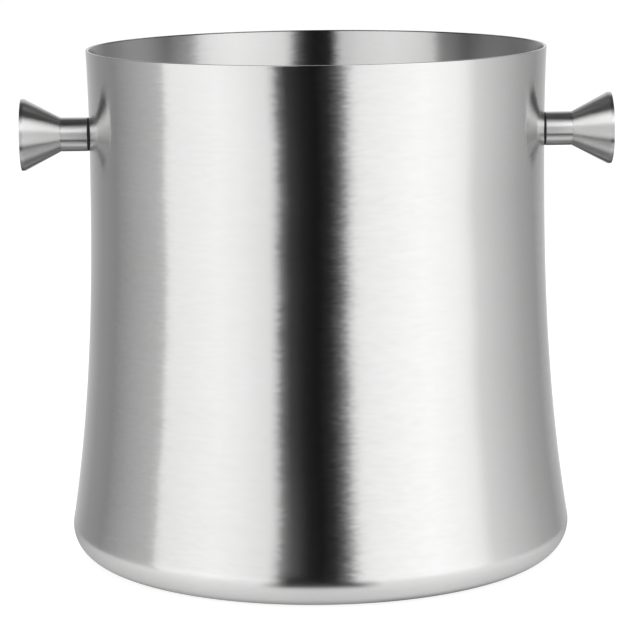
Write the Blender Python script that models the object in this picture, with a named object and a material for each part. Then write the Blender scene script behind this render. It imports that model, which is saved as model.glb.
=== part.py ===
"""Champagne bucket: a waisted shell of sheet steel with two turned cone knobs.

The origin is at the centre of the base, on the surface that the bucket stands on. +Z is up and +X runs
through the right knob. Lengths are in metres.
"""

import math

import bmesh
import bpy

# The shell, measured on its outside.
HEIGHT = 0.2231
RIM_RADIUS = 0.1000
WAIST_RADIUS = 0.0992
WAIST_HEIGHT = 0.1860
FLARE = 0.0135  # what the wall would gain on the waist if it ran on down to the base plane
FLARE_POWER = 2.6
CORNER_RADIUS = 0.0132
SHEET = 0.0012
FOOT_INNER_RADIUS = 0.0800  # inside edge of the flat ring that the bucket stands on
PANEL_RAISE = 0.0015  # the base inside that ring is pressed up by this much
PANEL_STEP = 0.0050  # width of the bend between ring and panel

# The knobs. Distances along a knob are from the bucket's axis.
KNOB_HEIGHT = WAIST_HEIGHT
STEM_START = 0.1000
CONE_START = 0.1115
CONE_END = 0.1273
KNOB_END = 0.1288
STEM_RADIUS = 0.0074
KNOB_RADIUS = 0.0157
KNOB_EDGE = 0.0004

# The fastening: an M6 by 25 button-head screw, put in from inside.
GAP = 0.00025  # left between pieces that touch
SCREW_RADIUS = 0.0030
SCREW_LENGTH = 0.0250
SCREW_HEAD_RADIUS = 0.00525
SCREW_HEAD_HEIGHT = 0.0033
SOCKET_FLATS = 0.0040
SOCKET_DEPTH = 0.0022
BORE_RADIUS = SCREW_RADIUS + GAP
BORE_DEPTH = 0.0100
GASKET_RADIUS = 0.0072
SEAL_RADIUS = 0.0080
SEAL_THICKNESS = 0.0010
WASHER_RADIUS = 0.0090
WASHER_THICKNESS = 0.0014
BREAK = 0.0003  # broken edges on turned pieces

# Facets round the bucket's axis and round a knob's axis.
SHELL_SEGMENTS = 72
KNOB_SEGMENTS = 36
SMOOTH_ANGLE = math.radians(35)

STEEL = {"color": (0.60, 0.60, 0.60), "roughness": 0.28, "metallic": 1.0}
TURNED_STEEL = {"color": (0.62, 0.62, 0.62), "roughness": 0.22, "metallic": 1.0}
SCREW_STEEL = {"color": (0.52, 0.52, 0.53), "roughness": 0.25, "metallic": 1.0}
RUBBER = {"color": (0.02, 0.02, 0.02), "roughness": 0.6, "metallic": 0.0}


def clear_scene():
    for old in list(bpy.data.objects):
        bpy.data.objects.remove(old, do_unlink=True)


def material(name, color, roughness, metallic):
    made = bpy.data.materials.new(name)
    made.use_nodes = True
    shader = made.node_tree.nodes["Principled BSDF"]
    shader.inputs["Base Color"].default_value = (*color, 1.0)
    shader.inputs["Roughness"].default_value = roughness
    shader.inputs["Metallic"].default_value = metallic
    return made


def arc(centre, radius, start, end, steps):
    """Points from angle start to angle end, in degrees, both ends included."""
    points = []
    for i in range(steps + 1):
        angle = math.radians(start + (end - start) * i / steps)
        points.append((centre[0] + radius * math.cos(angle), centre[1] + radius * math.sin(angle)))
    return points


def turned(name, outline, segments, closed):
    """A mesh turned about Z from (radius, height) points. A closed outline makes a ring."""
    mesh = bpy.data.meshes.new(name)
    bm = bmesh.new()
    verts = [bm.verts.new((radius, 0.0, height)) for radius, height in outline]
    edges = [bm.edges.new(pair) for pair in zip(verts, verts[1:])]
    if closed:
        edges.append(bm.edges.new((verts[-1], verts[0])))
    bmesh.ops.spin(
        bm,
        geom=verts + edges,
        axis=(0.0, 0.0, 1.0),
        cent=(0.0, 0.0, 0.0),
        angle=math.tau,
        steps=segments,
        use_merge=True,
    )
    bmesh.ops.remove_doubles(bm, verts=bm.verts[:], dist=1e-6)
    bmesh.ops.recalc_face_normals(bm, faces=bm.faces[:])
    bm.to_mesh(mesh)
    bm.free()
    mesh.shade_smooth()
    mesh.set_sharp_from_angle(angle=SMOOTH_ANGLE)
    return mesh


def place(name, mesh, finish, parent=None, height=0.0):
    """An object at a height along its parent's Z axis."""
    made = bpy.data.objects.new(name, mesh)
    mesh.materials.clear()
    mesh.materials.append(material(name + "_finish", **finish))
    bpy.context.scene.collection.objects.link(made)
    made.parent = parent
    made.location = (0.0, 0.0, height)
    return made


def wall_radius(height):
    """The wall's outer radius: a power curve below the waist and a parabola above it."""
    if height < WAIST_HEIGHT:
        return WAIST_RADIUS + FLARE * (1 - height / WAIST_HEIGHT) ** FLARE_POWER
    rise = (height - WAIST_HEIGHT) / (HEIGHT - WAIST_HEIGHT)
    return WAIST_RADIUS + (RIM_RADIUS - WAIST_RADIUS) * rise**2


def wall_lean(height):
    """The wall's outward lean below the waist, as an angle from vertical."""
    share = 1 - height / WAIST_HEIGHT
    return math.atan(FLARE * FLARE_POWER / WAIST_HEIGHT * share ** (FLARE_POWER - 1))


def corner():
    """Where the wall runs smoothly into the corner: (corner centre's radius, join height, lean)."""
    lean = 0.0
    for _ in range(20):
        join = CORNER_RADIUS * (1 + math.sin(lean))
        lean = wall_lean(join)
    return wall_radius(join) - CORNER_RADIUS * math.cos(lean), join, lean


def outside_line():
    """The shell's outer face in section, from the middle of the base out and up to the rim."""
    centre_radius, join, lean = corner()
    line = [(0.0, PANEL_RAISE)]
    steps = 5
    for i in range(steps + 1):
        share = i / steps
        radius = FOOT_INNER_RADIUS - PANEL_STEP * (1 - share)
        line.append((radius, PANEL_RAISE * (1 + math.cos(math.pi * share)) / 2))
    line += arc((centre_radius, CORNER_RADIUS), CORNER_RADIUS, -90, math.degrees(lean), 8)
    top = HEIGHT - SHEET / 2
    steps = 9
    for i in range(1, steps + 1):
        height = join + (top - join) * (i / steps) ** 1.1
        line.append((wall_radius(height), height))
    return line


def offset(line, distance):
    """The same line moved to its left by a distance, with mitred corners."""
    moved = []
    for i, (x, y) in enumerate(line):
        before = line[max(i - 1, 0)]
        after = line[min(i + 1, len(line) - 1)]
        normals = []
        for a, b in ((before, (x, y)), ((x, y), after)):
            length = math.dist(a, b)
            if length > 0:
                normals.append(((a[1] - b[1]) / length, (b[0] - a[0]) / length))
        first, last = normals[0], normals[-1]
        scale = distance / (1 + first[0] * last[0] + first[1] * last[1])
        moved.append((x + (first[0] + last[0]) * scale, y + (first[1] + last[1]) * scale))
    return moved


def make_shell():
    outside = outside_line()
    inside = offset(outside, SHEET)
    rim_centre = ((outside[-1][0] + inside[-1][0]) / 2, HEIGHT - SHEET / 2)
    rim = arc(rim_centre, SHEET / 2, 150, 30, 4)
    shell = place(
        "bucket_shell",
        turned("bucket_shell", inside + rim + outside[::-1], SHELL_SEGMENTS, closed=False),
        STEEL,
    )
    reach = CONE_START
    bore = [(0.0, -reach), (BORE_RADIUS, -reach), (BORE_RADIUS, reach), (0.0, reach)]
    cutter = bpy.data.objects.new("hole_cutter", turned("hole_cutter", bore, KNOB_SEGMENTS, closed=False))
    bpy.context.scene.collection.objects.link(cutter)
    cutter.location = (0.0, 0.0, KNOB_HEIGHT)
    cutter.rotation_euler = (0.0, math.pi / 2, 0.0)
    cutter.hide_render = True
    cutter.display_type = "WIRE"
    holes = shell.modifiers.new("screw_holes", "BOOLEAN")
    holes.operation = "DIFFERENCE"
    holes.solver = "EXACT"
    holes.object = cutter


def ring_outline(inner, outer, start, end, break_edges):
    """A ring's section. Its outer edges are broken where asked."""
    if not break_edges:
        return [(inner, start), (outer, start), (outer, end), (inner, end)]
    return [
        (inner, start),
        (outer - BREAK, start),
        (outer, start + BREAK),
        (outer, end - BREAK),
        (outer - BREAK, end),
        (inner, end),
    ]


def curve_to_wall(mesh, height, wall):
    """Bends the face at a height along a knob's axis onto the wall, a cylinder about the bucket's axis."""
    for vert in mesh.vertices:
        if abs(vert.co.z - height) < 1e-6:
            vert.co.z = math.sqrt(wall**2 - vert.co.y**2)


def head_mesh():
    """The solid cone with its land, its blind bore open towards the bucket."""
    bore_end = CONE_START + BORE_DEPTH
    outline = [
        (0.0, bore_end + BORE_RADIUS * math.tan(math.radians(30))),
        (BORE_RADIUS, bore_end),
        (BORE_RADIUS, CONE_START),
        (STEM_RADIUS, CONE_START),
        (KNOB_RADIUS, CONE_END),
    ]
    outline += arc((KNOB_RADIUS - KNOB_EDGE, KNOB_END - KNOB_EDGE), KNOB_EDGE, 0, 90, 3)
    outline.append((0.0, KNOB_END))
    return turned("knob_head", outline, KNOB_SEGMENTS, closed=False)


def sleeve_mesh():
    outline = ring_outline(BORE_RADIUS, STEM_RADIUS, STEM_START, CONE_START - GAP, False)
    return turned("stem_sleeve", outline, KNOB_SEGMENTS, closed=True)


def gasket_mesh():
    face = STEM_START - GAP
    outline = ring_outline(BORE_RADIUS, GASKET_RADIUS, WAIST_RADIUS, face, False)
    mesh = turned("wall_gasket", outline, KNOB_SEGMENTS, closed=True)
    curve_to_wall(mesh, WAIST_RADIUS, WAIST_RADIUS + GAP)
    return mesh


def seal_mesh():
    wall = WAIST_RADIUS - SHEET - GAP
    outline = ring_outline(BORE_RADIUS, SEAL_RADIUS, wall - SEAL_THICKNESS, wall, False)
    mesh = turned("inner_seal", outline, KNOB_SEGMENTS, closed=True)
    curve_to_wall(mesh, wall, wall)
    return mesh


def washer_faces():
    """The washer's inner and outer face, as distances from the bucket's axis."""
    outer = WAIST_RADIUS - SHEET - SEAL_THICKNESS - 2 * GAP
    return outer - WASHER_THICKNESS, outer


def washer_mesh():
    inner_face, outer_face = washer_faces()
    outline = ring_outline(BORE_RADIUS, WASHER_RADIUS, inner_face, outer_face, True)
    return turned("backing_washer", outline, KNOB_SEGMENTS, closed=True)


def screw_mesh():
    """A button-head screw with a hexagonal socket, its tip pointing out of the bucket."""
    seat = washer_faces()[0] - GAP
    top = seat - SCREW_HEAD_HEIGHT
    tip = seat + SCREW_LENGTH
    socket_radius = SOCKET_FLATS / 2
    crown_radius = SCREW_HEAD_RADIUS * 0.55
    outline = [
        (0.0, top + SOCKET_DEPTH),
        (socket_radius, top + SOCKET_DEPTH),
        (socket_radius, top),
        (crown_radius, top),
    ]
    steps = 5
    for i in range(1, steps + 1):
        angle = math.radians(90 * i / steps)
        radius = crown_radius + (SCREW_HEAD_RADIUS - crown_radius) * math.sin(angle)
        outline.append((radius, seat - BREAK - (SCREW_HEAD_HEIGHT - BREAK) * math.cos(angle)))
    outline += [
        (SCREW_HEAD_RADIUS - BREAK, seat),
        (SCREW_RADIUS, seat),
        (SCREW_RADIUS, tip - 2 * BREAK),
        (SCREW_RADIUS - 2 * BREAK, tip),
        (0.0, tip),
    ]
    mesh = turned("knob_screw", outline, KNOB_SEGMENTS, closed=False)
    for vert in mesh.vertices:
        radius = math.hypot(vert.co.x, vert.co.y)
        if abs(radius - socket_radius) < 1e-6:
            turn = math.atan2(vert.co.y, vert.co.x) % math.radians(60)
            stretch = 1 / math.cos(turn - math.radians(30))
            vert.co.x *= stretch
            vert.co.y *= stretch
    return mesh


def make_knob(side, turn):
    """One knob and its fastening. Its Z axis is the knob's axis, pointing out of the bucket."""
    axis = bpy.data.objects.new(side + "_knob_axis", None)
    bpy.context.scene.collection.objects.link(axis)
    axis.location = (0.0, 0.0, KNOB_HEIGHT)
    axis.rotation_euler = (0.0, math.pi / 2, turn)
    place(side + "_knob_head", head_mesh(), TURNED_STEEL, axis)
    place(side + "_stem_sleeve", sleeve_mesh(), TURNED_STEEL, axis)
    place(side + "_wall_gasket", gasket_mesh(), RUBBER, axis)
    place(side + "_inner_seal", seal_mesh(), RUBBER, axis)
    place(side + "_backing_washer", washer_mesh(), SCREW_STEEL, axis)
    place(side + "_knob_screw", screw_mesh(), SCREW_STEEL, axis)


clear_scene()
make_shell()
make_knob("right", 0.0)
make_knob("left", math.pi)
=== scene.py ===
"""Looks for the champagne bucket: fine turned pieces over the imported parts, brushed-steel materials,
a soft studio and the camera. Lengths are in metres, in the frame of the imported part.
"""

import math

import bmesh
import bpy
from mathutils import Matrix, Vector


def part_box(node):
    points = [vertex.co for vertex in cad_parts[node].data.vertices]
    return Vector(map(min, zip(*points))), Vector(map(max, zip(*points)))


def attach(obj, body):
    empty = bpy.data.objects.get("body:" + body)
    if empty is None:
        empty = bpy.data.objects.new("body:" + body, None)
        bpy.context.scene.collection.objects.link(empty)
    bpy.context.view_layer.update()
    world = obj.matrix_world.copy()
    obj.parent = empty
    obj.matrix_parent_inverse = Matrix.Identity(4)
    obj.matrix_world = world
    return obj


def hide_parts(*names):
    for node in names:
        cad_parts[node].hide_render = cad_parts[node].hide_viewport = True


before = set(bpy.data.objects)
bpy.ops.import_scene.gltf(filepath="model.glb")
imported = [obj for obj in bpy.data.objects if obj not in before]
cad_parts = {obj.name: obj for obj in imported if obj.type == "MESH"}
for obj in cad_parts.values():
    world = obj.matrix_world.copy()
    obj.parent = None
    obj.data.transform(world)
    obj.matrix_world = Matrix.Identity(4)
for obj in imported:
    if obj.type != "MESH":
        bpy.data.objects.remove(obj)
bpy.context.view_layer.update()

# ---------------------------------------------------------------- dimensions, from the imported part

_, SHELL_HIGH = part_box("bucket_shell")
HEAD_LOW, HEAD_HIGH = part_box("right_knob_head")
SLEEVE_LOW, SLEEVE_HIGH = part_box("right_stem_sleeve")
GASKET_LOW, GASKET_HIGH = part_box("right_wall_gasket")
SEAL_LOW, SEAL_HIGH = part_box("right_inner_seal")
WASHER_LOW, WASHER_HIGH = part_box("right_backing_washer")
SCREW_LOW, SCREW_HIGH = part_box("right_knob_screw")

HEIGHT = SHELL_HIGH.z
KNOB_HEIGHT = (HEAD_LOW.z + HEAD_HIGH.z) / 2
KNOB_RADIUS = (HEAD_HIGH.z - HEAD_LOW.z) / 2
STEM_RADIUS = (SLEEVE_HIGH.z - SLEEVE_LOW.z) / 2
STEM_START = SLEEVE_LOW.x
CONE_START = HEAD_LOW.x
KNOB_END = HEAD_HIGH.x

# The shell's section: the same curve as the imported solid's, drawn finely.
SHEET = 0.0012
RIM_RADIUS = 0.1000
WAIST_RADIUS = 0.0992
WAIST_HEIGHT = KNOB_HEIGHT
FLARE = 0.01348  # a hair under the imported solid's, which has coarser facets
FLARE_POWER = 2.6
CORNER_RADIUS = 0.0132
FOOT_INNER_RADIUS = 0.0800
PANEL_RAISE = 0.0015
PANEL_STEP = 0.0050
RIM_ROUND = 0.00030  # the rim is cut flat, with its two edges broken

# The knobs and their fastening.
CONE_END = 0.1273
BORE_RADIUS = 0.00325
BORE_DEPTH = 0.0100
DRILL_REACH = 0.1100  # half the length of the drill that cuts both screw holes
THREAD_RADIUS = 0.0030
THREAD_PITCH = 0.0010
THREAD_DEPTH = 0.00055
SOCKET_FLATS = 0.0040
SOCKET_DEPTH = 0.0022
SOCKET_POINT = 0.0008  # how far the socket's floor runs to a point below its flats
SOCKET_CHAMFER = 0.0002
CROWN_SHARE = 0.55  # the flat top of the screw's head, as a share of its radius
SEAT_EDGE = 0.0003
PLAIN_SHANK = 0.0012  # no thread this close to the head
TIP_TAPER = 0.0008
TIP_TAPER_SHARE = 0.15
HEAD_EDGE = 0.00022
SLEEVE_EDGE = 0.00012
WASHER_EDGE = 0.0003
HAIRLINE = 0.00003  # left between pieces that touch

SHELL_SEGMENTS = 288
BASE_RINGS = (0.0, 0.03, 0.06)
PANEL_STEPS = 14
CORNER_STEPS = 28
WALL_STEPS = 72
RIM_STEPS = 6
KNOB_SEGMENTS = 120
DRILL_SEGMENTS = 64
SCREW_SEGMENTS = 72
CROWN_STEPS = 16
RINGS_PER_PITCH = 10


# ---------------------------------------------------------------- turned shapes

def arc(centre, radius, start, end, steps):
    """Points from angle start to angle end, in degrees, both ends included."""
    points = []
    for i in range(steps + 1):
        angle = math.radians(start + (end - start) * i / steps)
        points.append((centre[0] + radius * math.cos(angle), centre[1] + radius * math.sin(angle)))
    return points


def rounded(points, radius, steps=4):
    """A (radius, height) outline with its inner corners rounded; the two ends stay as they are."""
    out = [points[0]]
    for before, corner, after in zip(points, points[1:], points[2:]):
        a, b, c = Vector(before), Vector(corner), Vector(after)
        cut = min(radius, (a - b).length * 0.45, (c - b).length * 0.45)
        start = b + (a - b).normalized() * cut
        end = b + (c - b).normalized() * cut
        for i in range(steps + 1):
            t = i / steps
            out.append(tuple(start * (1 - t) ** 2 + b * (2 * t * (1 - t)) + end * t**2))
    out.append(points[-1])
    return out


def turned(outline, segments, closed=False):
    """A bmesh turned about Z from (radius, height) points. A closed outline makes a ring."""
    bm = bmesh.new()
    rings = []
    for radius, height in outline:
        if radius < 1e-9:
            rings.append([bm.verts.new((0.0, 0.0, height))])
            continue
        ring = []
        for i in range(segments):
            angle = math.tau * i / segments
            ring.append(bm.verts.new((radius * math.cos(angle), radius * math.sin(angle), height)))
        rings.append(ring)
    pairs = list(zip(rings, rings[1:]))
    if closed:
        pairs.append((rings[-1], rings[0]))
    for low, high in pairs:
        for i in range(segments):
            j = (i + 1) % segments
            corners = [low[i % len(low)], low[j % len(low)], high[j % len(high)], high[i % len(high)]]
            bm.faces.new(list(dict.fromkeys(corners)))
    bmesh.ops.recalc_face_normals(bm, faces=bm.faces[:])
    return bm


def piece(name, bm, material, nodes, sharp):
    """Makes a shown piece of a bmesh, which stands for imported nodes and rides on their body. Edges sharper
    than an angle in degrees stay sharp, unless it is 0.
    """
    mesh = bpy.data.meshes.new(name)
    bm.to_mesh(mesh)
    bm.free()
    mesh.shade_smooth()
    if sharp:
        mesh.set_sharp_from_angle(angle=math.radians(sharp))
    mesh.materials.append(material)
    made = bpy.data.objects.new(name, mesh)
    bpy.context.scene.collection.objects.link(made)
    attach(made, "root")
    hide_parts(*nodes)
    return made


# ---------------------------------------------------------------- the shell's section

def wall_radius(height):
    if height < WAIST_HEIGHT:
        return WAIST_RADIUS + FLARE * (1 - height / WAIST_HEIGHT) ** FLARE_POWER
    rise = (height - WAIST_HEIGHT) / (HEIGHT - WAIST_HEIGHT)
    return WAIST_RADIUS + (RIM_RADIUS - WAIST_RADIUS) * rise**2


def corner():
    """Where the wall runs into the corner: (corner centre's radius, join height, lean)."""
    lean = 0.0
    for _ in range(20):
        join = CORNER_RADIUS * (1 + math.sin(lean))
        share = 1 - join / WAIST_HEIGHT
        lean = math.atan(FLARE * FLARE_POWER / WAIST_HEIGHT * share ** (FLARE_POWER - 1))
    return wall_radius(join) - CORNER_RADIUS * math.cos(lean), join, lean


def outside_line():
    """The outer face from the middle of the base out and up to the rim."""
    centre_radius, join, lean = corner()
    line = [(radius, PANEL_RAISE) for radius in BASE_RINGS]
    for i in range(PANEL_STEPS + 1):
        share = i / PANEL_STEPS
        radius = FOOT_INNER_RADIUS - PANEL_STEP * (1 - share)
        line.append((radius, PANEL_RAISE * (1 + math.cos(math.pi * share)) / 2))
    line += arc((centre_radius, CORNER_RADIUS), CORNER_RADIUS, -90, math.degrees(lean), CORNER_STEPS)
    top = HEIGHT - RIM_ROUND
    for i in range(1, WALL_STEPS + 1):
        height = join + (top - join) * i / WALL_STEPS
        line.append((wall_radius(height), height))
    # A ring close below the rim keeps the rim's rounding from shading the wall.
    line.insert(-1, (wall_radius(top - RIM_ROUND), top - RIM_ROUND))
    return line


def offset(line, distance):
    """The same line moved to its left by a distance, with mitred corners."""
    moved = []
    for i, (x, y) in enumerate(line):
        before = line[max(i - 1, 0)]
        after = line[min(i + 1, len(line) - 1)]
        normals = []
        for a, b in ((before, (x, y)), ((x, y), after)):
            length = math.dist(a, b)
            if length > 0:
                normals.append(((a[1] - b[1]) / length, (b[0] - a[0]) / length))
        first, last = normals[0], normals[-1]
        scale = distance / (1 + first[0] * last[0] + first[1] * last[1])
        moved.append((x + (first[0] + last[0]) * scale, y + (first[1] + last[1]) * scale))
    return moved


# ---------------------------------------------------------------- material nodes

NOISE_RANGE = (0.3, 0.7)  # nearly all of a noise's values
STEEL_TINT = (1.0, 1.0, 0.995)
BROAD_WIDTH = 0.045  # the slow waves of a brushed sheet: their width, and their length in radians
BROAD_LENGTH = 0.8


class Nodes:
    """Short calls for building a node tree."""

    def __init__(self, tree):
        self.tree = tree
        tree.nodes.clear()

    def add(self, kind, **settings):
        node = self.tree.nodes.new(kind)
        for key, value in settings.items():
            setattr(node, key, value)
        return node

    def feed(self, socket, value):
        if isinstance(value, bpy.types.NodeSocket):
            self.tree.links.new(value, socket)
        else:
            socket.default_value = value

    def math(self, operation, a, b=0.0, c=0.0, clamp=False):
        node = self.add("ShaderNodeMath", operation=operation, use_clamp=clamp)
        for socket, value in zip(node.inputs, (a, b, c)):
            self.feed(socket, value)
        return node.outputs[0]

    def vector(self, operation, a, b=(0.0, 0.0, 0.0), scale=1.0):
        node = self.add("ShaderNodeVectorMath", operation=operation)
        self.feed(node.inputs[0], a)
        if operation == "SCALE":
            self.feed(node.inputs["Scale"], scale)
        else:
            self.feed(node.inputs[1], b)
        return node.outputs[0]

    def split(self, vector):
        node = self.add("ShaderNodeSeparateXYZ")
        self.feed(node.inputs[0], vector)
        return node.outputs[0], node.outputs[1], node.outputs[2]

    def join(self, x, y, z):
        node = self.add("ShaderNodeCombineXYZ")
        for socket, value in zip(node.inputs, (x, y, z)):
            self.feed(socket, value)
        return node.outputs[0]

    def noise(self, vector, detail=2.0, roughness=0.5, scale=1.0):
        node = self.add("ShaderNodeTexNoise", noise_dimensions="3D")
        self.feed(node.inputs["Vector"], vector)
        node.inputs["Scale"].default_value = scale
        node.inputs["Detail"].default_value = detail
        node.inputs["Roughness"].default_value = roughness
        return node.outputs["Fac"]

    def remap(self, value, low, high, to_low, to_high, smooth=False):
        node = self.add("ShaderNodeMapRange", interpolation_type="SMOOTHSTEP" if smooth else "LINEAR")
        for socket, number in zip(node.inputs, (value, low, high, to_low, to_high)):
            self.feed(socket, number)
        return node.outputs[0]

    def ramp(self, value, stops, interpolation="LINEAR"):
        """stops are (position, brightness)."""
        node = self.add("ShaderNodeValToRGB")
        node.color_ramp.interpolation = interpolation
        elements = node.color_ramp.elements
        while len(elements) > 1:
            elements.remove(elements[-1])
        for i, (position, level) in enumerate(stops):
            element = elements[0] if i == 0 else elements.new(position)
            element.position = position
            element.color = (level, level, level, 1.0)
        self.feed(node.inputs[0], value)
        return node.outputs["Color"]

    def length(self, a, b):
        squares = self.math("ADD", self.math("MULTIPLY", a, a), self.math("MULTIPLY", b, b))
        return self.math("SQRT", squares)

    def grey(self, level, tint=(1.0, 1.0, 1.0)):
        """A colour of this level times a tint."""
        node = self.add("ShaderNodeCombineColor")
        for socket, share in zip(node.inputs, tint):
            self.feed(socket, self.math("MULTIPLY", level, share))
        return node.outputs[0]


def new_material(name):
    made = bpy.data.materials.new(name)
    made.use_nodes = True
    nodes = Nodes(made.node_tree)
    shader = nodes.add("ShaderNodeBsdfPrincipled")
    output = nodes.add("ShaderNodeOutputMaterial")
    nodes.feed(output.inputs["Surface"], shader.outputs[0])
    return made, nodes, shader


def round_axis(nodes, axis, centre):
    """The cosine and sine of a place's angle round the axis, and its distance over the surface across the
    brush lines: along the axis on a wall, outwards on a flat end.
    """
    place = nodes.vector("SUBTRACT", nodes.add("ShaderNodeTexCoord").outputs["Object"], tuple(centre))
    x, y, z = nodes.split(place)
    across, up, along = (x, y, z) if axis == "Z" else (y, z, x)
    radius = nodes.math("MAXIMUM", nodes.length(across, up), 1e-5)
    travel = nodes.math("ADD", nodes.math("ABSOLUTE", along), radius)
    return nodes.math("DIVIDE", across, radius), nodes.math("DIVIDE", up, radius), travel


def streaks(nodes, cosine, sine, travel, width, turn, detail, seed):
    """Noise drawn out round the axis: width is a line's size, turn its length in radians."""
    place = nodes.join(
        nodes.math("DIVIDE", cosine, turn),
        nodes.math("DIVIDE", sine, turn),
        nodes.math("ADD", nodes.math("DIVIDE", travel, width), seed),
    )
    return nodes.noise(place, detail, 0.6)


def brushed_metal(
    name, axis, centre, level, roughness, line_width, line_length, tone, jitter, waves=0.0, lean=0.0
):
    """Steel brushed or turned round an axis, "Z" or "X", through a centre.

    line_width and line_length are the size of the brush lines, and tone is how much they differ in
    brightness. jitter tips the surface a little from line to line, which frays the edges of reflections,
    and waves does so over larger patches. lean tips the whole surface upwards by this slope.
    """
    made, nodes, shader = new_material(name)
    cosine, sine, travel = round_axis(nodes, axis, centre)
    fine = streaks(nodes, cosine, sine, travel, line_width, line_length, 2.0, 3.1)
    coarse = streaks(nodes, cosine, sine, travel, line_width * 4, line_length * 4, 2.0, 17.3)
    broad = streaks(nodes, cosine, sine, travel, BROAD_WIDTH, BROAD_LENGTH, 1.0, 41.7)

    # Tips the normal round the axis, so that upright reflections fray sideways.
    if axis == "Z":
        around = nodes.join(nodes.math("MULTIPLY", sine, -1.0), cosine, 0.0)
    else:
        around = nodes.join(0.0, nodes.math("MULTIPLY", sine, -1.0), cosine)
    tip = nodes.math("MULTIPLY", nodes.math("SUBTRACT", fine, 0.5), jitter)
    tip = nodes.math("MULTIPLY_ADD", nodes.math("SUBTRACT", coarse, 0.5), jitter * 0.6, tip)
    tip = nodes.math("MULTIPLY_ADD", nodes.math("SUBTRACT", broad, 0.5), waves, tip)
    normal = nodes.add("ShaderNodeNewGeometry").outputs["Normal"]
    normal = nodes.vector("ADD", normal, nodes.vector("SCALE", around, scale=tip))
    if lean:
        normal = nodes.vector("ADD", normal, (0.0, 0.0, lean))
    nodes.feed(shader.inputs["Normal"], nodes.vector("NORMALIZE", normal))

    mixed = nodes.math("ADD", nodes.math("MULTIPLY", fine, 0.6), nodes.math("MULTIPLY", coarse, 0.4))
    shade = nodes.remap(mixed, *NOISE_RANGE, level * (1 - tone), level * (1 + tone))
    nodes.feed(shader.inputs["Base Color"], nodes.grey(shade, STEEL_TINT))
    rough = nodes.remap(mixed, *NOISE_RANGE, roughness * 0.95, roughness * 1.05)
    nodes.feed(shader.inputs["Roughness"], rough)
    shader.inputs["Metallic"].default_value = 1.0
    # The light spreads across the brush lines.
    shader.inputs["Anisotropic"].default_value = 1.0
    shader.inputs["Anisotropic Rotation"].default_value = 0.25
    tangent = nodes.add("ShaderNodeTangent", direction_type="RADIAL", axis=axis)
    nodes.feed(shader.inputs["Tangent"], tangent.outputs[0])
    return made


def grained(name, scale, detail, detail_share, levels, roughness, bump_strength, bump_depth):
    """A material with a fine even grain: (material, its shader). levels and roughness are ranges."""
    made, nodes, shader = new_material(name)
    place = nodes.add("ShaderNodeTexCoord").outputs["Object"]
    grain = nodes.noise(place, detail, detail_share, scale)
    nodes.feed(shader.inputs["Base Color"], nodes.grey(nodes.remap(grain, *NOISE_RANGE, *levels)))
    nodes.feed(shader.inputs["Roughness"], nodes.remap(grain, *NOISE_RANGE, *roughness))
    bump = nodes.add("ShaderNodeBump")
    bump.inputs["Strength"].default_value = bump_strength
    bump.inputs["Distance"].default_value = bump_depth
    nodes.feed(bump.inputs["Height"], grain)
    nodes.feed(shader.inputs["Normal"], bump.outputs[0])
    return made, shader


def plain_steel(name):
    """Bright fastener steel with a faint grain."""
    made, shader = grained(name, 2600.0, 4.0, 0.6, (0.50, 0.56), (0.20, 0.30), 0.15, 0.00005)
    shader.inputs["Metallic"].default_value = 1.0
    return made


def black_rubber(name):
    made, _ = grained(name, 1800.0, 5.0, 0.65, (0.010, 0.020), (0.50, 0.65), 0.3, 0.00008)
    return made


# ---------------------------------------------------------------- the pieces

def drilled(bm):
    """The shell with its two screw holes, cut straight through along X."""
    wall = bpy.data.objects.new("undrilled_shell", bpy.data.meshes.new("undrilled_shell"))
    drill = bpy.data.objects.new("drill", bpy.data.meshes.new("drill"))
    bm.to_mesh(wall.data)
    bm.free()
    bit = turned([(0.0, -DRILL_REACH), (BORE_RADIUS, -DRILL_REACH), (BORE_RADIUS, DRILL_REACH),
                  (0.0, DRILL_REACH)], DRILL_SEGMENTS)
    bit.transform(Matrix.Translation((0.0, 0.0, KNOB_HEIGHT)) @ Matrix.Rotation(math.pi / 2, 4, "Y"))
    bit.to_mesh(drill.data)
    bit.free()
    for made in (wall, drill):
        for _ in range(2):  # the outside's material and the inside's
            made.data.materials.append(None)
        bpy.context.scene.collection.objects.link(made)
    cut = wall.modifiers.new("drilled", "BOOLEAN")
    cut.operation = "DIFFERENCE"
    cut.solver = "EXACT"
    cut.object = drill
    bpy.context.view_layer.update()
    finished = bmesh.new()
    finished.from_object(wall, bpy.context.evaluated_depsgraph_get())
    for made in (wall, drill):
        mesh = made.data
        bpy.data.objects.remove(made)
        bpy.data.meshes.remove(mesh)
    return finished


def make_shell(outer, inner):
    outside = outside_line()
    inside = offset(outside, SHEET)
    rim_height = HEIGHT - RIM_ROUND
    rim = arc((inside[-1][0] + RIM_ROUND, rim_height), RIM_ROUND, 172, 95, RIM_STEPS)
    rim += arc((outside[-1][0] - RIM_ROUND, rim_height), RIM_ROUND, 85, 8, RIM_STEPS)
    bm = turned(inside + rim + outside[::-1], SHELL_SEGMENTS)
    bm.faces.ensure_lookup_table()
    for i in range((len(inside) - 1) * SHELL_SEGMENTS):
        bm.faces[i].material_index = 1
    shell = piece("brushed_shell", drilled(bm), outer, ["bucket_shell"], sharp=0)
    shell.data.materials.append(inner)
    return shell


def curve_to_wall(bm, near, wall):
    """Bends a ring's face that lies near a height onto the wall, a cylinder about the bucket's axis."""
    for vert in bm.verts:
        if abs(vert.co.z - near) < 1e-6:
            vert.co.z = math.sqrt(wall**2 - vert.co.y**2)


def ring_section(inner, outer, start, end):
    return [(inner, start), (outer, start), (outer, end), (inner, end)]


def softened(section, radius):
    """A ring's section with its four corners rounded."""
    corners = section[-1:] + section + section[:1]
    return rounded(corners, radius)[1:-1]


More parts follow.
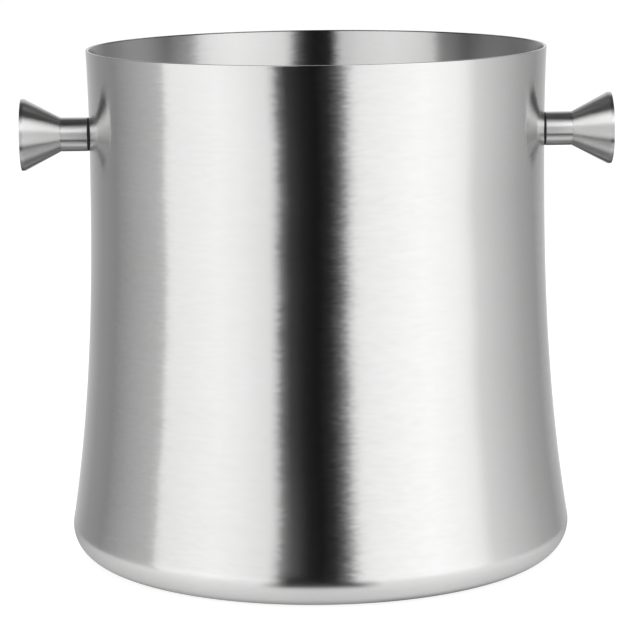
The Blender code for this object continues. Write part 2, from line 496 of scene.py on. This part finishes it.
def head():
    bore_end = CONE_START + BORE_DEPTH
    outline = [
        (0.0, bore_end + BORE_RADIUS * math.tan(math.radians(30))),
        (BORE_RADIUS, bore_end),
        (BORE_RADIUS, CONE_START + HAIRLINE),
        (STEM_RADIUS, CONE_START + HAIRLINE),
        (KNOB_RADIUS, CONE_END),
        (KNOB_RADIUS, KNOB_END),
        (0.0, KNOB_END),
    ]
    return turned(rounded(outline, HEAD_EDGE, 5), KNOB_SEGMENTS)


def sleeve():
    section = ring_section(BORE_RADIUS, STEM_RADIUS, STEM_START, CONE_START - HAIRLINE)
    return turned(softened(section, SLEEVE_EDGE), KNOB_SEGMENTS, closed=True)


def gasket():
    radius = (GASKET_HIGH.z - GASKET_LOW.z) / 2
    face = STEM_START - HAIRLINE
    bm = turned(ring_section(BORE_RADIUS, radius, WAIST_RADIUS, face), KNOB_SEGMENTS, closed=True)
    curve_to_wall(bm, WAIST_RADIUS, WAIST_RADIUS + HAIRLINE)
    return bm


def seal():
    radius = (SEAL_HIGH.z - SEAL_LOW.z) / 2
    wall = WAIST_RADIUS - SHEET - HAIRLINE
    face = WASHER_HIGH.x + HAIRLINE
    bm = turned(ring_section(BORE_RADIUS, radius, face, wall), KNOB_SEGMENTS, closed=True)
    curve_to_wall(bm, wall, wall)
    return bm


def washer():
    radius = (WASHER_HIGH.z - WASHER_LOW.z) / 2
    section = ring_section(BORE_RADIUS, radius, WASHER_LOW.x, WASHER_HIGH.x)
    return turned(softened(section, WASHER_EDGE), KNOB_SEGMENTS, closed=True)


def thread_radius(turn, height):
    """The thread's radius at a turn, in whole turns, and a height: a 60 degree groove, flat at its foot."""
    phase = (height / THREAD_PITCH - turn) % 1.0
    return THREAD_RADIUS - THREAD_DEPTH * min(1.0, max(0.0, 1.15 - abs(phase - 0.5) * 2.6))


def screw_outline(top, seat, tip, thread_start):
    """A button-head screw's section, from the middle of its socket round to the middle of its tip."""
    head_radius = (SCREW_HIGH.z - SCREW_LOW.z) / 2
    crown_radius = head_radius * CROWN_SHARE
    socket_radius = SOCKET_FLATS / 2
    outline = [(0.0, top + SOCKET_DEPTH + SOCKET_POINT), (socket_radius, top + SOCKET_DEPTH)]
    outline += [(socket_radius, top + SOCKET_CHAMFER), (socket_radius + SOCKET_CHAMFER, top)]
    outline.append((crown_radius, top))
    edge = seat - SEAT_EDGE
    for i in range(1, CROWN_STEPS + 1):
        angle = math.radians(90 * i / CROWN_STEPS)
        radius = crown_radius + (head_radius - crown_radius) * math.sin(angle)
        outline.append((radius, edge - (edge - top) * math.cos(angle)))
    outline += [(head_radius - SEAT_EDGE, seat), (THREAD_RADIUS, seat)]
    rings = int((tip - thread_start) / THREAD_PITCH * RINGS_PER_PITCH)
    for i in range(rings + 1):
        outline.append((THREAD_RADIUS, thread_start + (tip - thread_start) * i / rings))
    outline.append((0.0, tip))
    return outline


def screw():
    """Turned round first. Then the socket is made six-sided and the thread is cut."""
    top = SCREW_LOW.x
    seat = WASHER_LOW.x - HAIRLINE
    tip = SCREW_HIGH.x
    thread_start = seat + PLAIN_SHANK
    socket_edge = SOCKET_FLATS / 2 + SOCKET_CHAMFER
    close = 1e-6
    bm = turned(screw_outline(top, seat, tip, thread_start), SCREW_SEGMENTS)
    for vert in bm.verts:
        radius = math.hypot(vert.co.x, vert.co.y)
        turn = math.atan2(vert.co.y, vert.co.x) / math.tau
        if radius < close:
            continue
        if radius < socket_edge + 10 * close and vert.co.z < top + SOCKET_DEPTH + close:
            slice_angle = (turn * math.tau) % math.radians(60) - math.radians(30)
            factor = 1 / math.cos(slice_angle)
        elif vert.co.z >= thread_start - close:
            taper = max(0.0, 1 - (tip - vert.co.z) / TIP_TAPER)
            factor = thread_radius(turn, vert.co.z) / THREAD_RADIUS * (1 - TIP_TAPER_SHARE * taper)
        else:
            continue
        vert.co.x *= factor
        vert.co.y *= factor
    return bm


def make_knob(side, turn, turned_steel, fastener_steel, rubber):
    """Places one knob's pieces. Each is turned about Z, which then becomes the knob's axis."""
    to_axis = (
        Matrix.Translation((0.0, 0.0, KNOB_HEIGHT))
        @ Matrix.Rotation(turn, 4, "Z")
        @ Matrix.Rotation(math.pi / 2, 4, "Y")
    )
    plan = [
        ("cone_knob", head, turned_steel, "knob_head", "turned_steel", 30),
        ("stem", sleeve, turned_steel, "stem_sleeve", "turned_steel", 30),
        ("outer_gasket", gasket, rubber, "wall_gasket", "black_rubber", 30),
        ("sealing_ring", seal, rubber, "inner_seal", "black_rubber", 30),
        ("flat_washer", washer, fastener_steel, "backing_washer", "fastener_steel", 30),
        ("socket_screw", screw, fastener_steel, "knob_screw", "fastener_steel", 32),
    ]
    for name, shape, material, node, slot, sharp in plan:
        bm = shape()
        bm.transform(to_axis)
        piece(side + "_" + name, bm, material, [side + "_" + node], sharp)


# ---------------------------------------------------------------- studio

# All angles here are in degrees: azimuth from the camera's side of the bucket, + to the right, and
# elevation above the horizon.
TURN = 1.4  # the camera and the studio are turned by this about the bucket, to its left

# Brightness round the studio, by azimuth.
STUDIO_RING = [
    (-180, 0.78), (-160, 0.52), (-140, 0.34), (-121, 0.29), (-104, 0.44), (-87, 0.58), (-83, 0.68),
    (-80, 1.02), (-77, 1.08), (-50, 1.18), (-38, 1.10), (-24, 0.95), (-21, 0.66), (-18, 0.14),
    (-14, 0.02), (0, 0.01), (6, 0.03), (10, 0.12), (13, 0.32), (16, 0.76), (19, 1.00), (25, 1.08),
    (42, 1.18), (54, 1.24), (72, 1.17), (79, 1.07), (86, 0.83), (100, 0.66), (122, 0.45), (140, 0.35),
    (160, 0.52), (180, 0.78),
]
RING_TOP = 1.4  # the ramp holds brightness as a share of this
# The ring ends above and below at these elevations, each fading out over the next few. At the sides it
# ends lower.
RING_HIGH = 24.0
RING_HIGH_FADE = 46.0
RING_HIGH_SIDE = 20.0
RING_HIGH_SIDE_FADE = 14.0
RING_LOW = -20.0
RING_LOW_FADE = 15.0
# Its boxes dim a little from below the horizon to above it, and are brighter in their upper part.
DIM_START = -12.0
DIM_END = 12.0
DIM_LEFT = 0.83
DIM_RIGHT = 0.92
DIM_BLEND = 17.2  # the left share changes into the right one over this much to either side
UPPER_START = 11.0
UPPER_END = 27.0
UPPER_GAIN = 0.7
# Higher up, the boxes also stand closer together, by this share.
SQUEEZE_START = 4.0
SQUEEZE_END = 20.0
SQUEEZE = 0.17
# There, the left box also reaches further into the gap and the right box less far, and what lies outside
# the boxes is dimmer, in stripes: a share for each azimuth to either side.
REACH_START = 13.0
REACH_END = 22.0
REACH = 8.0
REACH_RIGHT = 0.2  # the right box's part of it
REACH_FROM = (-50, -20)  # the reach grows over these azimuths, changes sides, and dies away again
REACH_MIDDLE = (-8, 2)
REACH_UNTIL = (30, 50)
STRIPES = [
    (0, 1.00), (78, 1.00), (86, 0.52), (95, 0.35), (105, 0.05), (114, 0.50), (124, 1.00), (136, 0.50),
    (150, 0.02), (165, 0.40), (180, 0.70),
]
CEILING = 0.03
GAP_RANGE = (0.2, 0.7)  # the ring's levels at which the gap begins and ends
SIDE_RANGE = (0.85, 0.99)  # what counts as the sides, as a share of the way out to straight sideways
# The pale ground starts at this elevation, and much lower down in front of the dark gap.
GROUND = 0.82
GROUND_BEHIND = 0.12
GROUND_START = -38.0
GROUND_START_IN_GAP = -78.0
GROUND_FADE = 5.0
GROUND_FACING = (-0.7, 0.1)  # the ground gets dimmer from here, towards the camera, to here, behind
GROUND_UNDERNEATH = 0.15  # how bright it is straight down, where things shade it
# Close to the bucket, over these radii: the painted shadow where it stands, the painted reflection of the
# dark gap in front, and where the painted floor gets brighter.
NEAR_FLOOR = 0.140
FOOT_RANGE = (0.099, 0.1055)
FOOT_SHADE = 0.36
FOOT_SHADE_RIGHT = 0.04
DARK_RANGE = (0.1185, 0.1255)
BRIGHT_RANGE = (0.112, 0.130)
FLOOR = 40.0
LAMP_SIZE = 3.0
LAMP_HEIGHT = 2.6
LAMP_POWER = 62.0


def azimuth_of(nodes, x, y):
    """The azimuth of a direction, or of a place seen from the bucket's axis."""
    angle = nodes.math("ARCTAN2", x, nodes.math("MULTIPLY", y, -1.0))
    return nodes.math("MULTIPLY_ADD", angle, 180 / math.pi, TURN)


def ring_light(nodes, azimuth, rise, backward):
    """Light from the boxes and what stands round them: (its level, how deep in the dark gap it is)."""
    squeeze = nodes.remap(rise, SQUEEZE_START, SQUEEZE_END, 0.0, SQUEEZE, smooth=True)
    squeeze = nodes.math("MULTIPLY", squeeze, nodes.remap(backward, 0.0, 0.5, 1.0, 0.0))
    spread = nodes.math("MULTIPLY", azimuth, nodes.math("ADD", squeeze, 1.0))

    high = nodes.remap(rise, REACH_START, REACH_END, 0.0, 1.0, smooth=True)
    reach = nodes.remap(azimuth, *REACH_MIDDLE, REACH, REACH * REACH_RIGHT)
    reach = nodes.math("MULTIPLY", reach, nodes.remap(azimuth, *REACH_FROM, 0.0, 1.0))
    reach = nodes.math("MULTIPLY", reach, nodes.remap(azimuth, *REACH_UNTIL, 1.0, 0.0))
    reach = nodes.math("MULTIPLY", reach, high)
    spread = nodes.math("SUBTRACT", spread, reach)
    aside = nodes.math("MULTIPLY", nodes.math("ABSOLUTE", spread), 1 / 180)
    stripes = nodes.ramp(aside, [(a / 180, b) for a, b in STRIPES])
    stripes = nodes.math("MULTIPLY_ADD", high, nodes.math("SUBTRACT", stripes, 1.0), 1.0)

    turn = nodes.math("MULTIPLY_ADD", spread, 1 / 360, 0.5)
    ring = nodes.ramp(turn, [(0.5 + a / 360, b / RING_TOP) for a, b in STUDIO_RING])
    gap = nodes.remap(ring, *GAP_RANGE, 1.0, 0.0, smooth=True)
    dimmest = nodes.remap(azimuth, -DIM_BLEND, DIM_BLEND, DIM_LEFT, DIM_RIGHT)
    dimming = nodes.remap(rise, DIM_START, DIM_END, 1.0, dimmest)
    upper = nodes.remap(rise, UPPER_START, UPPER_END, 1.0, 1.0 + UPPER_GAIN, smooth=True)
    gain = nodes.math("MULTIPLY", nodes.math("MULTIPLY", dimming, upper), RING_TOP)
    below = nodes.remap(rise, RING_LOW - RING_LOW_FADE, RING_LOW, 0.0, 1.0, smooth=True)
    ring = nodes.math("MULTIPLY", nodes.math("MULTIPLY", ring, gain), stripes)
    return nodes.math("MULTIPLY", ring, below), gap


def ground_light(nodes, rise, y, backward, gap):
    """Light from the pale ground."""
    front = nodes.math("MULTIPLY", gap, nodes.remap(y, -0.3, 0.0, 1.0, 0.0))
    start = nodes.remap(front, 0.0, 1.0, GROUND_START, GROUND_START_IN_GAP)
    depth = nodes.math("SUBTRACT", start, rise)
    level = nodes.remap(backward, *GROUND_FACING, GROUND, GROUND_BEHIND)
    ground = nodes.math("MULTIPLY", nodes.remap(depth, 0.0, GROUND_FADE, 0.0, 1.0, smooth=True), level)
    underneath = nodes.remap(rise, -88.0, -62.0, GROUND_UNDERNEATH, 1.0, smooth=True)
    return nodes.math("MULTIPLY", ground, underneath)


def make_world():
    """Soft boxes left and right of a dark gap behind the camera, a pale backdrop and a pale ground."""
    world = bpy.data.worlds.new("studio")
    world.use_nodes = True
    bpy.context.scene.world = world
    nodes = Nodes(world.node_tree)
    x, y, z = nodes.split(nodes.add("ShaderNodeTexCoord").outputs["Generated"])
    rise = nodes.math("MULTIPLY", nodes.math("ARCSINE", z), 180 / math.pi)
    flat = nodes.math("SQRT", nodes.math("SUBTRACT", 1.0001, nodes.math("MULTIPLY", z, z)))
    backward = nodes.math("DIVIDE", y, flat)
    sideways = nodes.math("DIVIDE", nodes.math("ABSOLUTE", x), flat)

    ring, gap = ring_light(nodes, azimuth_of(nodes, x, y), rise, backward)
    top = nodes.remap(sideways, *SIDE_RANGE, RING_HIGH, RING_HIGH_SIDE, smooth=True)
    top_fade = nodes.remap(sideways, *SIDE_RANGE, RING_HIGH_FADE, RING_HIGH_SIDE_FADE, smooth=True)
    past_top = nodes.math("DIVIDE", nodes.math("SUBTRACT", rise, top), top_fade)
    ring = nodes.math("MULTIPLY", ring, nodes.remap(past_top, 0.0, 1.0, 1.0, 0.0, smooth=True))
    ceiling = nodes.remap(past_top, 0.0, 1.0, 0.0, CEILING)
    ground = ground_light(nodes, rise, y, backward, gap)
    level = nodes.math("ADD", nodes.math("ADD", ring, ground), ceiling)

    # The backdrop that the camera sees directly is plain white.
    seen = nodes.add("ShaderNodeMix", data_type="FLOAT")
    nodes.feed(seen.inputs[0], nodes.add("ShaderNodeLightPath").outputs["Is Camera Ray"])
    nodes.feed(seen.inputs[2], level)
    nodes.feed(seen.inputs[3], 1.0)
    background = nodes.add("ShaderNodeBackground")
    nodes.feed(background.inputs["Color"], nodes.grey(seen.outputs[0]))
    output = nodes.add("ShaderNodeOutputWorld")
    nodes.feed(output.inputs["Surface"], background.outputs[0])


def pale_material(name, level, glow):
    """A matt floor. Its glow keeps the shade on it faint."""
    made, nodes, shader = new_material(name)
    place = nodes.add("ShaderNodeTexCoord").outputs["Object"]
    grain = nodes.noise(place, 2.0, 0.5, 4.0)
    nodes.feed(shader.inputs["Base Color"], nodes.grey(nodes.remap(grain, *NOISE_RANGE, level * 0.99, level)))
    shader.inputs["Roughness"].default_value = 0.9
    shader.inputs["Specular IOR Level"].default_value = 0.0
    shader.inputs["Emission Color"].default_value = (1.0, 1.0, 1.0, 1.0)
    shader.inputs["Emission Strength"].default_value = glow
    return made


def near_floor_material(name, level, glow):
    """The floor as the corner of the bucket reflects it, with light and shade painted into its colour and
    glow: a painted shadow where it meets the foot, darker on the right, painted shade behind, painted light
    further out and to the sides, and a painted reflection of the dark gap between the boxes a little way out
    in front.
    """
    made, nodes, shader = new_material(name)
    x, y, z = nodes.split(nodes.add("ShaderNodeTexCoord").outputs["Object"])
    radius = nodes.length(x, y)
    angle = azimuth_of(nodes, x, y)
    aside = nodes.math("ABSOLUTE", angle)
    # Painted shadow where the floor meets the foot, darker on the right.
    rightward = nodes.math(
        "MULTIPLY",
        nodes.remap(angle, 4, 18, 0.0, 1.0, smooth=True),
        nodes.remap(angle, 50, 80, 1.0, 0.0),
    )
    contact = nodes.remap(rightward, 0.0, 1.0, FOOT_SHADE, FOOT_SHADE_RIGHT)
    foot = nodes.remap(radius, *FOOT_RANGE, contact, 1.0)
    # Painted shade behind, and a painted reflection of the dark gap a little way out in front.
    behind = nodes.remap(y, -0.10, 0.02, 1.0, 0.5)
    middle = nodes.remap(aside, 8, 17, 1.0, 0.0, smooth=True)
    outward = nodes.remap(radius, *DARK_RANGE, 0.0, 1.0)
    dark = nodes.math("MULTIPLY_ADD", nodes.math("MULTIPLY", middle, outward), -0.97, 1.0)
    shade = nodes.math("MULTIPLY", nodes.math("MULTIPLY", foot, behind), dark)
    # Painted light to the sides and further out.
    shade = nodes.math("MULTIPLY", shade, nodes.remap(aside, 0.0, 30, 1.0, 1.12))
    shade = nodes.math("MULTIPLY", shade, nodes.remap(radius, *BRIGHT_RANGE, 1.0, 1.18))
    nodes.feed(shader.inputs["Base Color"], nodes.grey(nodes.math("MULTIPLY", shade, level)))
    nodes.feed(shader.inputs["Emission Color"], nodes.grey(shade))
    shader.inputs["Roughness"].default_value = 0.9
    shader.inputs["Specular IOR Level"].default_value = 0.0
    shader.inputs["Emission Strength"].default_value = glow
    return made


def disc(name, radius, material, height=0.0):
    bm = bmesh.new()
    bmesh.ops.create_circle(bm, cap_ends=True, radius=radius, segments=96)
    mesh = bpy.data.meshes.new(name)
    bm.to_mesh(mesh)
    bm.free()
    mesh.materials.append(material)
    made = bpy.data.objects.new(name, mesh)
    bpy.context.scene.collection.objects.link(made)
    made.location = (0.0, 0.0, height)
    return made


def make_stage():
    floor = disc("floor", FLOOR, pale_material("pale_floor", 0.3, 0.88), -0.0002)
    floor.visible_glossy = False
    # Close to the bucket, the floor also shows in the steel, with a painted shadow under the corner.
    near_floor = disc("near_floor", NEAR_FLOOR, near_floor_material("pale_near_floor", 0.34, 0.42), -0.0001)
    near_floor.visible_camera = False
    near_floor.visible_diffuse = False
    near_floor.visible_shadow = False

    light = bpy.data.lights.new("overhead", "AREA")
    light.shape = "SQUARE"
    light.size = LAMP_SIZE
    light.energy = LAMP_POWER
    lamp = bpy.data.objects.new("overhead", light)
    bpy.context.scene.collection.objects.link(lamp)
    lamp.location = (0.0, 0.0, LAMP_HEIGHT)
    lamp.visible_glossy = False
    lamp.visible_camera = False


# ---------------------------------------------------------------- camera

CAMERA_DISTANCE = 1.1994
CAMERA_HEIGHT = 0.3153
CAMERA_PITCH = math.radians(10.075)
CAMERA_YAW = math.radians(-0.027)
CAMERA_ROLL = math.radians(-0.58)
CAMERA_LENS = 154.84  # mm, on a 36 mm sensor


def make_camera():
    data = bpy.data.cameras.new("camera")
    data.sensor_width = 36.0
    data.lens = CAMERA_LENS
    data.clip_start = 0.05
    data.clip_end = 100.0
    camera = bpy.data.objects.new("camera", data)
    bpy.context.scene.collection.objects.link(camera)
    bpy.context.scene.camera = camera
    camera.matrix_world = (
        Matrix.Rotation(-math.radians(TURN), 4, "Z")
        @ Matrix.Translation((0.0, -CAMERA_DISTANCE, CAMERA_HEIGHT))
        @ Matrix.Rotation(CAMERA_YAW, 4, "Z")
        @ Matrix.Rotation(math.pi / 2 - CAMERA_PITCH, 4, "X")
        @ Matrix.Rotation(CAMERA_ROLL, 4, "Z")
    )


# ---------------------------------------------------------------- build

outer_steel = brushed_metal(
    "brushed_outer_steel", "Z", (0.0, 0.0, 0.0), level=0.80, roughness=0.16,
    line_width=0.0013, line_length=0.05, tone=0.025, jitter=0.028, waves=0.045,
)
# The inside is the outside's steel with its colour darkened from 0.80 to 0.50: painted shade inside the
# bucket.
inner_steel_painted_shade = brushed_metal(
    "brushed_inner_steel", "Z", (0.0, 0.0, 0.0), level=0.50, roughness=0.16,
    line_width=0.0013, line_length=0.05, tone=0.025, jitter=0.028, waves=0.03, lean=0.25,
)
knob_steel = brushed_metal(
    "turned_knob_steel", "X", (0.0, 0.0, KNOB_HEIGHT), level=0.95, roughness=0.33,
    line_width=0.0003, line_length=2.0, tone=0.03, jitter=0.02,
)
fastener = plain_steel("fastener_steel_bright")
rubber = black_rubber("sealing_rubber_black")

make_shell(outer_steel, inner_steel_painted_shade)
make_knob("right", 0.0, knob_steel, fastener, rubber)
make_knob("left", math.pi, knob_steel, fastener, rubber)
make_world()
make_stage()
make_camera()

bpy.context.scene.view_settings.view_transform = "Standard"
bpy.context.scene.cycles.glossy_bounces = 12
bpy.context.scene.cycles.max_bounces = 16
